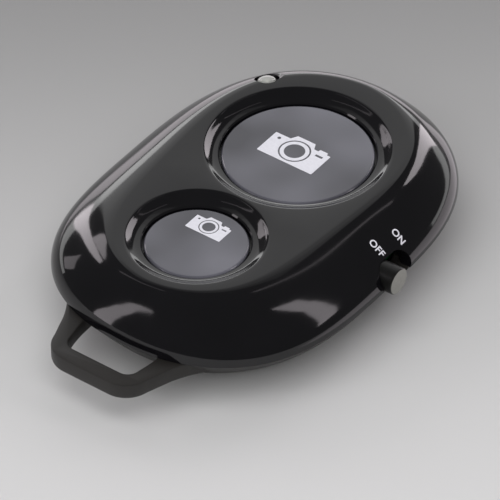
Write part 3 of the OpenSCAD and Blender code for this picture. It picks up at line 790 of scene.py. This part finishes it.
def flat_print(obj, where):
    """Turns flat ink from a curve or letters into a closed mesh at its place."""
    only(obj)
    bpy.ops.object.convert(target="MESH")
    obj = bpy.context.object
    obj.data.transform(where)
    obj.matrix_world = Matrix.Identity(4)
    bpy.ops.object.mode_set(mode="EDIT")
    bpy.ops.mesh.select_all(action="SELECT")
    bpy.ops.mesh.remove_doubles(threshold=near)
    return close(obj)


def word_on_flank(word, x, y, shell):
    """A word in flat ink that follows the flank: it reads down the flank, with its tops towards +Y."""
    tree = surface_tree(shell.data)
    spot, out, _, _ = tree.ray_cast(Vector((x, y, top_z * 2)) / mm, Vector((0, 0, -1)))
    along = Vector((0, 1, 0)).cross(out).normalized()
    up = out.cross(along)
    clear()
    bpy.ops.object.text_add()
    obj = bpy.context.object
    obj.name = obj.data.name = word.lower() + "_mark"
    obj.data.body = word
    obj.data.align_x = obj.data.align_y = "CENTER"
    obj.data.size = mark_height / capital_share
    obj.data.space_character = letter_spacing
    obj.data.offset = mark_height * mark_weight_share
    where = Matrix((along, up, out)).transposed().to_4x4()
    where.translation = spot * mm
    flat_print(obj, where)
    only(obj)
    bpy.ops.object.mode_set(mode="EDIT")
    bpy.ops.mesh.select_all(action="SELECT")
    bpy.ops.mesh.quads_convert_to_tris()
    bpy.ops.mesh.subdivide(number_cuts=3)
    bpy.ops.object.mode_set(mode="OBJECT")
    for vertex in obj.data.vertices:
        on_flank, normal, _, _ = tree.find_nearest(vertex.co / mm)
        vertex.co = on_flank * mm + normal * print_t / 2
    return reshape(obj, "SOLIDIFY", thickness=print_t, offset=0)


def make_knob():
    """The round switch knob, with a small round along its flat face."""
    length = knob_high.x - knob_low.x
    knob = turned("switch_knob", [(knob_r, 0)] + rounded_rim(knob_r, length, knob_round, 6), steps=72)
    on_its_side = Matrix.Rotation(math.pi / 2, 4, "Y")
    knob.data.transform(Matrix.Translation((knob_low.x, knob_y, knob_z)) @ on_its_side)
    return smooth(knob)


def make_lamp():
    """The lamp's clear epoxy body, with its domed lens and foot flange."""
    steps = 10
    profile = [(lamp_flange_r, -lamp_l), (lamp_flange_r, -lamp_l + lamp_flange_t),
               (lamp_r, -lamp_l + lamp_flange_t), (lamp_r, -lamp_dome_h)]
    for i in range(1, steps):
        turn = math.pi / 2 * i / steps
        profile.append((lamp_r * math.cos(turn), lamp_dome_h * (math.sin(turn) - 1)))
    profile = [(radius, z + lamp_proud) for radius, z in profile]
    return smooth(put_at_lamp(turned("lamp_lens", profile, steps=48)))


def make_lamp_cup():
    """The lamp's metal lead frame: a reflector cup on a post, inside the epoxy."""
    return smooth(put_at_lamp(turned("lamp_cup", [(r * mm, z * mm) for r, z in cup_section], steps=32)))


def make_cell():
    """The coin cell: a pressed can with a rolled rim, a smaller upper face and a stamped plus."""
    low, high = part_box("coin_cell")
    r = (high.x - low.x) / 2
    y = (low.y + high.y) / 2
    profile = [(r - inwards * mm, low.z + up * mm) for inwards, up in cell_foot]
    profile += [(r - inwards * mm, high.z - down * mm) for inwards, down in cell_shoulder]
    cell = turned("cell", profile, (0, y), 128)
    for x_arm, y_arm in ((plus_arm, plus_half_w), (plus_half_w, plus_arm)):
        cut_low, cut_high = (-x_arm, y - y_arm, low.z - plus_depth), (x_arm, y + y_arm, low.z + plus_depth)
        cut(cell, box_solid("plus", cut_low, cut_high))
    return smooth(cell)


def make_screws(name, places, seat_z, sizes):
    """Self-tapping screws, head down: a domed head with a cross recess, and a ridged shank."""
    head_r, head_t, thread_r, thread_l = sizes
    root_r = thread_r * root_share
    profile = [(head_r * across, seat_z - head_t * down) for across, down in head_shares] + [(root_r, seat_z)]
    for i in range(int(thread_l / thread_pitch) - 1):
        z = seat_z + (i + 0.5) * thread_pitch
        crest, foot = (z + share * thread_pitch for share in crest_shares)
        profile += [(root_r, z), (thread_r, crest), (root_r, foot)]
    profile.append((thread_r * tip_share, seat_z + thread_l))
    first = turned(name, profile, steps=40)
    arm, half, depth = (share * size for share, size in zip(recess_shares, (head_r, head_r, head_t)))
    for reach_x, reach_y in ((arm, half), (half, arm)):
        low = (-reach_x, -reach_y, seat_z - head_t - overrun)
        cut(first, box_solid("recess", low, (reach_x, reach_y, seat_z - depth)))
    smooth(first, 50)
    screws = [first] + [copy_of(first, name + "_copy") for _ in places[1:]]
    for obj, (x, y) in zip(screws, places):
        obj.data.transform(Matrix.Translation((x, y, 0)))
    clear()
    for obj in screws:
        obj.select_set(True)
    bpy.context.view_layer.objects.active = first
    bpy.ops.object.join()
    return first


def linear(code):
    """An sRGB hex colour as linear values, opaque."""
    parts = [int(code[i:i + 2], 16) / 255 for i in (1, 3, 5)]
    return *(c / 12.92 if c <= 0.04045 else ((c + 0.055) / 1.055) ** 2.4 for c in parts), 1.0


def add_node(tree, kind, settings=None, values=None, links=None):
    """Adds one shader node with its settings, its input values and its incoming links."""
    node = tree.nodes.new(kind)
    for name, value in (settings or {}).items():
        setattr(node, name, value)
    for name, value in (values or {}).items():
        node.inputs[name].default_value = value
    for name, output in (links or {}).items():
        tree.links.new(output, node.inputs[name])
    return node


def start_material(name, *grains, **values):
    """Starts a material: gives it, its object coordinates and a noise for each (size, detail, roughness)."""
    material = bpy.data.materials.new(name)
    material.use_nodes = True
    tree = material.node_tree
    for socket, value in values.items():
        tree.nodes["Principled BSDF"].inputs[socket.replace("_", " ")].default_value = value
    where = add_node(tree, "ShaderNodeTexCoord").outputs["Object"]
    noises = []
    for size, detail, roughness in grains:
        values = {"Scale": 1 / size, "Detail": detail, "Roughness": roughness}
        noise = add_node(tree, "ShaderNodeTexNoise", values=values, links={"Vector": where})
        noises.append(noise.outputs["Fac"])
    return material, where, *noises


def vary(material, tone=None, gloss=None, relief=None):
    """Varies the colour between two tones, the roughness and the relief, each by a pattern."""
    tree = material.node_tree
    varied = {}
    if tone:
        pattern, first, second = tone
        blend = add_node(tree, "ShaderNodeMix", {"data_type": "RGBA"}, {6: linear(first), 7: linear(second)},
                         {0: pattern})
        varied["Base Color"] = blend.outputs[2]
    if gloss:
        pattern, low, high = gloss
        values = {**noise_middle, "To Min": low, "To Max": high}
        dulled = add_node(tree, "ShaderNodeMapRange", values=values, links={"Value": pattern})
        varied["Roughness"] = dulled.outputs["Result"]
    if relief:
        pattern, depth, strength = relief
        values = {"Distance": depth, "Strength": strength}
        raised = add_node(tree, "ShaderNodeBump", values=values, links={"Height": pattern})
        varied["Normal"] = raised.outputs["Normal"]
    for socket, output in varied.items():
        tree.links.new(output, tree.nodes["Principled BSDF"].inputs[socket])
    return material


def gloss_abs():
    # Black ABS moulded in a polished tool: a mirror gloss that waves very slightly where the
    # wall shrank, and a trace of handling that dulls it in patches
    patch, wave, wave_depth = 6 * mm, 5 * mm, 0.006 * mm
    material, _, patches, waves = start_material(
        "Polished black ABS", (patch, 4.0, 0.5), (wave, 0.0, 0.5), IOR=1.5)
    return vary(material, (patches, "#0a0a0c", "#111013"), (patches, 0.05, 0.1), (waves, wave_depth, 1.0))


def textured_abs():
    # Black ABS moulded in a spark-eroded tool: a fine even grain, about 0.15 mm, that breaks
    # the shine into a soft sheen
    grain, grain_depth, cloud = 0.15 * mm, 0.012 * mm, 8 * mm
    material, _, grains, tones = start_material(
        "Spark-textured black ABS", (grain, 2.0, 0.5), (cloud, 3.0, 0.5), IOR=1.5)
    return vary(material, (tones, "#1e1d1c", "#272523"), (tones, 0.42, 0.52), (grains, grain_depth, 0.6))


def dark_abs():
    # Black ABS as moulded, satin, for the button carriers and the slider
    cloud = 2 * mm
    material, _, tones = start_material("Satin black ABS", (cloud, 3.0, 0.5), IOR=1.5)
    return vary(material, (tones, "#141416", "#1b1b1e"), (tones, 0.25, 0.35))


def cap_acrylic():
    # Acrylic sheet back-painted in violet grey: the paint's clouds and fine flakes show through a
    # hard clear gloss
    flake, cloud = 0.08 * mm, 9 * mm
    material, _, flakes, clouds = start_material(
        "Back-painted acrylic", (flake, 3.0, 0.5), (cloud, 1.0, 0.5),
        IOR=1.49, Coat_Weight=0.6, Coat_Roughness=0.03)
    tree = material.node_tree
    clear_clouds = add_node(tree, "ShaderNodeMapRange", values=noise_middle, links={"Value": clouds})
    return vary(material, (clear_clouds.outputs["Result"], "#3b3b42", "#676770"), (flakes, 0.16, 0.24))


def screen_ink():
    # White screen-printing ink: dense, slightly uneven in tone, with a satin surface
    mottle = 0.3 * mm
    material, _, tones = start_material("White screen ink", (mottle, 3.0, 0.5), IOR=1.5)
    return vary(material, (tones, "#dcdce4", "#ececf4"), (tones, 0.35, 0.5))


def knob_nylon():
    # Black glass-filled nylon: satin, with the short fibres' faint mottle
    fibre, fibre_depth = 0.1 * mm, 0.004 * mm
    material, _, fibres = start_material(
        "Black nylon", (fibre, 3.0, 0.5), IOR=1.53, Specular_IOR_Level=0.3)
    return vary(material, (fibres, "#0c0c0c", "#141413"), (fibres, 0.3, 0.42), (fibres, fibre_depth, 1.0))


def knob_lit_face():
    # The knob's end face, grey and lighter than the black sides: partly a paler end, partly painted light for
    # the light falling on this side, with fine straight scratches in a dry surface
    scratch, scratch_depth, squeeze = 0.5 * mm, 0.01 * mm, (1, 1, 8)
    material, where = start_material("Grey nylon with painted light", IOR=1.5)
    tree = material.node_tree
    squeezed = add_node(tree, "ShaderNodeMapping", values={"Scale": squeeze}, links={"Vector": where})
    scratch_noise = add_node(tree, "ShaderNodeTexNoise", values={"Scale": 1 / scratch, "Detail": 4.0, "Roughness": 0.6},
                   links={"Vector": squeezed.outputs["Vector"]}).outputs["Fac"]
    clear_scratch_noise = add_node(tree, "ShaderNodeMapRange", values=noise_middle, links={"Value": scratch_noise})
    return vary(material, (clear_scratch_noise.outputs["Result"], "#7c7c76", "#94948e"), (scratch_noise, 0.4, 0.55),
                (scratch_noise, scratch_depth, 0.5))


def lamp_epoxy():
    # Cast clear epoxy, faintly hazy, which bends the view of the metal cup inside
    haze = 0.8 * mm
    material, _, hazes = start_material(
        "Clear epoxy", (haze, 2.0, 0.5), IOR=1.52, Transmission_Weight=0.5)
    return vary(material, (hazes, "#d0d1cc", "#dcddd8"), (hazes, 0.05, 0.12))


def plated(name, dark, pale, low, high, grain=0.3 * mm, depth=0.003 * mm):
    """A plated or rolled metal: two tones that wander, and a gloss that wanders with them."""
    material, _, wander = start_material(name, (grain, 4.0, 0.6), Metallic=1.0)
    return vary(material, (wander, dark, pale), (wander, low, high), (wander, depth, 1.0))


def moulded(name, dark, pale, low, high, grain=0.2 * mm, depth=0.004 * mm):
    """A plain moulded or fired part: two close tones and a fine surface grain."""
    material, _, tones = start_material(name, (grain, 3.0, 0.5), IOR=1.5)
    return vary(material, (tones, dark, pale), (tones, low, high), (tones, depth, 1.0))


def turned_steel():
    # Nickel-plated deep-drawn steel: a bright can with turned lines round its middle, drawn
    # 0.75 mm apart, because the real ones are too fine to show
    line_pitch, line_depth = 0.754 * mm, 0.002 * mm
    low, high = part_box("coin_cell")
    material, where = start_material("Nickel-plated steel can", Metallic=1.0)
    tree = material.node_tree
    centred = add_node(tree, "ShaderNodeMapping", values={"Location": (0, -(low.y + high.y) / 2, 0)},
                       links={"Vector": where})
    rings = add_node(tree, "ShaderNodeTexWave", {"wave_type": "RINGS", "rings_direction": "Z"},
                     {"Scale": math.tau / 20 / line_pitch, "Distortion": 2.0, "Detail": 3.0},
                     {"Vector": centred.outputs["Vector"]}).outputs["Fac"]
    return vary(material, (rings, "#b4b5b6", "#cfd0d1"), (rings, 0.2, 0.32), (rings, line_depth, 1.0))


def board_laminate():
    # Glass-epoxy board under green solder mask: the buried copper shows as paler paths
    path_pitch, path_height, weave = 9 * mm, 0.03 * mm, 0.5 * mm
    material, where, weaves = start_material("Solder-masked laminate", (weave, 2.0, 0.5), IOR=1.55)
    tree = material.node_tree
    values = {"Scale": 1 / path_pitch, "Mortar Size": 0.03, "Mortar Smooth": 0.1, "Color1": linear("#14532b"),
              "Color2": linear("#17592f"), "Mortar": linear("#2b7a46")}
    paths = add_node(tree, "ShaderNodeTexBrick", values=values, links={"Vector": where})
    tree.links.new(paths.outputs["Color"], tree.nodes["Principled BSDF"].inputs["Base Color"])
    return vary(material, gloss=(weaves, 0.22, 0.34), relief=(paths.outputs["Fac"], path_height, 0.5))


def dress_inner_parts():
    """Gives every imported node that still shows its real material."""
    finishes = {
        dark_abs(): ("large_button", "small_button", "power_switch_slider"),
        board_laminate(): ("circuit_board",),
        plated("Bare copper", "#9c5a32", "#bd7a4c", 0.25, 0.4): ("board_antenna",),
        moulded("Black epoxy mould compound", "#161617", "#1f1f20", 0.5, 0.65, 0.1 * mm): ("bluetooth_chip",),
        plated("Seam-welded nickel lid", "#b3b3ae", "#cfcfca", 0.22, 0.35): ("crystal",),
        moulded("Fired ceramic", "#75644a", "#8f7d5e", 0.45, 0.6): ("chip_parts",),
        moulded("White nylon", "#d4d2ca", "#e4e2da", 0.35, 0.5): (
            "large_switch_plunger", "small_switch_plunger"),
        plated("Gold-flashed bronze strip", "#b58a3c", "#d6b262", 0.22, 0.38): (
            "negative_contact", "positive_contact"),
        moulded("Glass-filled switch base", "#2c2c2e", "#37373a", 0.4, 0.55): (
            "large_switch_base", "small_switch_base", "power_switch_base"),
        plated("Tinned steel", "#a8a8a4", "#c2c2bd", 0.25, 0.4): (
            "large_switch_dome", "small_switch_dome", "large_switch_frame", "small_switch_frame",
            "power_switch_frame", "led_leads"),
    }
    for material, names in finishes.items():
        for name in names:
            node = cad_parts[name]
            node.data.materials.clear()
            node.data.materials.append(material)


def look_from(obj, stand, target):
    """Stands a lamp or the camera at a point, looking at the target."""
    obj.location = stand
    obj.rotation_euler = (stand - target).to_track_quat("Z", "Y").to_euler()


def make_camera():
    camera = bpy.data.objects.new("Camera", bpy.data.cameras.new("Camera"))
    camera.data.lens = camera_lens
    camera.data.clip_start, camera.data.clip_end = camera_clip
    bpy.context.collection.objects.link(camera)
    look_from(camera, camera_target + camera_back * camera_distance, camera_target)
    bpy.context.scene.camera = camera


def softbox(name, azimuth, elevation, across, upwards, radiance):
    """A rectangular lamp that faces the object and spans the given angles."""
    data = bpy.data.lights.new(name, "AREA")
    data.shape = "RECTANGLE"
    data.size, data.size_y = (2 * lamp_distance * math.tan(math.radians(a / 2)) for a in (across, upwards))
    data.energy = radiance * math.pi * data.size * data.size_y
    lamp = bpy.data.objects.new(name, data)
    bpy.context.collection.objects.link(lamp)
    look_from(lamp, lamp_target + towards(azimuth, elevation) * lamp_distance, lamp_target)
    lamp.visible_camera = False
    return lamp


def lit_card(name, radiance, corners):
    """A card of any outline that glows evenly, seen in the gloss but not by the camera."""
    card = start_outline(name, corners)
    bpy.ops.mesh.edge_face_add()
    bpy.ops.object.mode_set(mode="OBJECT")
    material, _ = start_material(
        name, Base_Color=linear("#000000"), Emission_Color=linear("#fff7fc"), Emission_Strength=radiance)
    card.data.materials.append(material)
    card.visible_camera = False
    card.visible_shadow = False


def make_floor():
    """A round pale floor, its colour painted darker towards the back as painted shade for the light falling
    off.
    """
    clear()
    bpy.ops.mesh.primitive_circle_add(vertices=96, radius=floor_r, fill_type="NGON", location=(0, 0, 0))
    floor = bpy.context.object
    floor.name = "floor"
    material, where = start_material("Floor with painted falloff", IOR=1.4, Roughness=0.8)
    tree = material.node_tree
    # Painted shade: the floor's colour darkens along this direction, away from the front
    along = add_node(tree, "ShaderNodeVectorMath", {"operation": "DOT_PRODUCT"}, {1: painted_shade_along}, {0: where})
    depth = add_node(tree, "ShaderNodeMapRange", {"interpolation_type": "SMOOTHSTEP"},
                     {"From Min": painted_shade_start, "From Max": painted_shade_end}, {"Value": along.outputs["Value"]})
    floor.data.materials.append(vary(material, (depth.outputs["Result"], floor_near_tone, floor_painted_shade_tone)))


def make_studio():
    """A pale floor with painted shade darkening it towards the back, soft lamps, lit cards and a quiet grey
    surround.
    """
    make_floor()
    world = bpy.data.worlds.new("Surround")
    world.use_nodes = True
    world.node_tree.nodes["Background"].inputs["Color"].default_value = linear(surround)
    bpy.context.scene.world = world
    bpy.context.scene.view_settings.view_transform = "Standard"
    for bank in soft_banks:
        softbox(*bank)
    softbox(*front_fill).visible_glossy = False
    for name, radiance, corners in lit_cards:
        lit_card(name, radiance, [lamp_target + towards(*corner) * lamp_distance for corner in corners])
    for name, radiance, corners in floor_sheets:
        lit_card(name, radiance, [Vector((x * mm, y * mm, sheet_z)) for x, y in corners])


make_camera()
shell = make_top_shell()
finish_piece(shell, "housing", gloss_abs(), "gloss_shell", "top_cover")
ink = screen_ink()
for word, (x, y) in mark_places.items():
    finish_piece(word_on_flank(word, x, y, shell), "housing", ink, "gloss_shell")
texture = textured_abs()
finish_piece(make_bottom_shell(), "housing", texture, "matte_shell", "bottom_cover")
finish_piece(make_battery_door(), "battery_cover", texture, "matte_shell", "battery_cover")
acrylic = cap_acrylic()
for name, (centre, scale) in sign_places.items():
    node = name + "_button_disc"
    finish_piece(make_button_disc(name), name + "_button", acrylic, "button_disc", node)
    sign = camera_sign(name + "_camera_sign", centre, scale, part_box(node)[1].z)
    finish_piece(sign, name + "_button", ink, "button_disc")
knob = finish_piece(make_knob(), "power_slider", knob_nylon(), "knob", "power_switch_knob")
# The end face takes the lighter grey, partly painted light on the side that looks to +X
knob.data.materials.append(knob_lit_face())
for face in knob.data.polygons:
    if face.center.x > knob_high.x - lit_face_depth:
        face.material_index = 1
finish_piece(make_lamp(), "housing", lamp_epoxy(), "clear_lens", "status_led")
silver = plated("Silver-plated lead frame", "#c4c4c0", "#dcdcd8", 0.15, 0.3)
finish_piece(make_lamp_cup(), "housing", silver, "tinned_steel")
finish_piece(make_cell(), "housing", turned_steel(), "cell_steel", "coin_cell")
zinc = plated("Bright zinc plate", "#9b9c9a", "#bfc0bc", 0.22, 0.36)
case_fixings = make_screws("case_fixings", case_places, case_seat_z, case_screw)
finish_piece(case_fixings, "housing", zinc, "tinned_steel", "case_screws")
board_fixings = make_screws("board_fixings", board_places, board_low.z, board_screw)
finish_piece(board_fixings, "housing", zinc, "tinned_steel", "board_screws")
dress_inner_parts()
make_studio()
